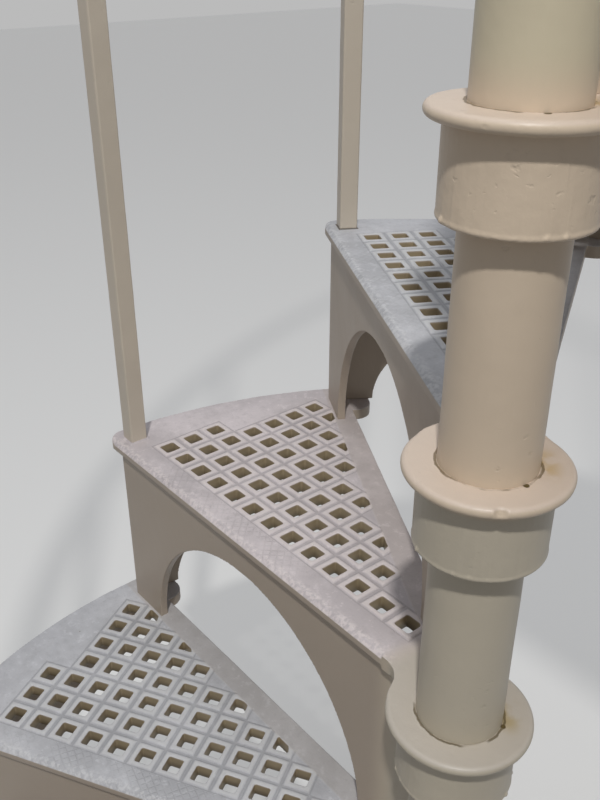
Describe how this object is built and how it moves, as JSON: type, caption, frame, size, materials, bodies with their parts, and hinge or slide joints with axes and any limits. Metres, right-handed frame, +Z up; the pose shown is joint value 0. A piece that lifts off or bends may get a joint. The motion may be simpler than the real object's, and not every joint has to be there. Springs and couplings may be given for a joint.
{
  "type": "spiral staircase",
  "caption": "Cast iron spiral staircase with perforated wedge treads, arched risers, round newel post, square balusters and a landing.",
  "frame": {"origin": "on the floor at the centre of the newel post, under the base plate", "axes": "+Z up along the newel post, -Y along the nosing of the landing; the stair climbs clockwise seen from above"},
  "size_m": [1.07, 1.0278, 2.3078],
  "materials": {
    "cream_paint": "thick gloss cream paint with runs and chips",
    "tread_paint": "cream paint worn grey and dusty on the walking faces",
    "baluster_paint": "cream gloss paint",
    "rail_paint": "cream gloss paint, rubbed smooth on top"
  },
  "bodies": {
    "root": {"base_plate": "cream_paint", "newel_post": "cream_paint", "newel_cap": "cream_paint", "tread_01": "tread_paint", "tread_02": "tread_paint", "tread_03": "tread_paint", "tread_04": "tread_paint", "tread_05": "tread_paint", "landing": "tread_paint", "baluster_01": "baluster_paint", "baluster_02": "baluster_paint", "baluster_03": "baluster_paint", "baluster_04": "baluster_paint", "baluster_05": "baluster_paint", "landing_baluster_1": "baluster_paint", "landing_baluster_2": "baluster_paint", "landing_baluster_3": "baluster_paint", "guard_baluster_1": "baluster_paint", "guard_baluster_2": "baluster_paint", "handrail_1": "rail_paint", "handrail_2": "rail_paint", "landing_rail": "rail_paint", "guard_rail": "rail_paint"}
  },
  "joints": []
}
